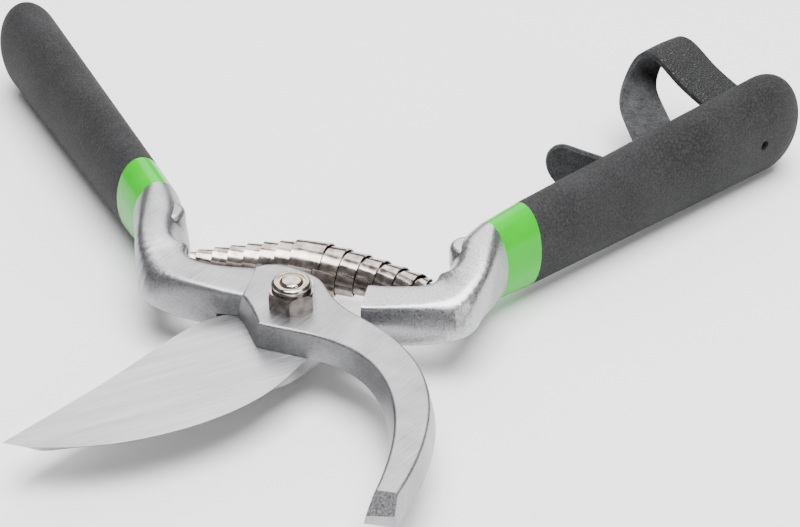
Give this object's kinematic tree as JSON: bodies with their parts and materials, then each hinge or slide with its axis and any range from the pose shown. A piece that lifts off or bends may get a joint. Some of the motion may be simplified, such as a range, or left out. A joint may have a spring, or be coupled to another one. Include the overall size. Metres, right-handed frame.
{
  "type": "bypass pruning shears",
  "caption": "Bypass pruning shears with a curved hook, a ground blade, a coiled return spring, padded grips and a wrist strap, turning on one bolt.",
  "frame": {"origin": "middle of the bolt head's flat underside, on the pivot axis", "axes": "+Z along the pivot axis from the bolt head to the nut, -Y towards the jaws, +Y towards the handles, +X towards the side the hook curves out on"},
  "size_m": [0.2257, 0.1922, 0.0283],
  "materials": {
    "hook_steel": "satin",
    "blade_steel": "brushed",
    "zinc_plate": "gloss",
    "nylon": "matte",
    "spring_nickel": "gloss",
    "green_collar": "gloss",
    "grip_foam": "matte",
    "strap_leather": "matte",
    "pin_steel": "satin"
  },
  "bodies": {
    "hook_side": {"hook_lever": "hook_steel", "left_collar": "green_collar", "left_grip": "grip_foam", "pivot_bolt": "zinc_plate", "head_washer": "zinc_plate", "lock_nut": "zinc_plate", "nut_insert": "nylon", "spring_left": "spring_nickel"},
    "blade_side": {"blade_lever": "blade_steel", "right_collar": "green_collar", "right_grip": "grip_foam", "spring_right": "spring_nickel", "strap_loop": "strap_leather", "strap_tail": "strap_leather", "strap_pin": "pin_steel"}
  },
  "joints": [
    {"name": "blade_pivot", "type": "hinge", "parent": "hook_side", "child": "blade_side", "pos_m": [0, 0, 0], "axis": [0, 0, 1], "range_deg": [0, 72], "stiffness_Nm_per_rad": 0.7, "deforming": ["spring_left", "spring_right", "strap_loop"]}
  ]
}
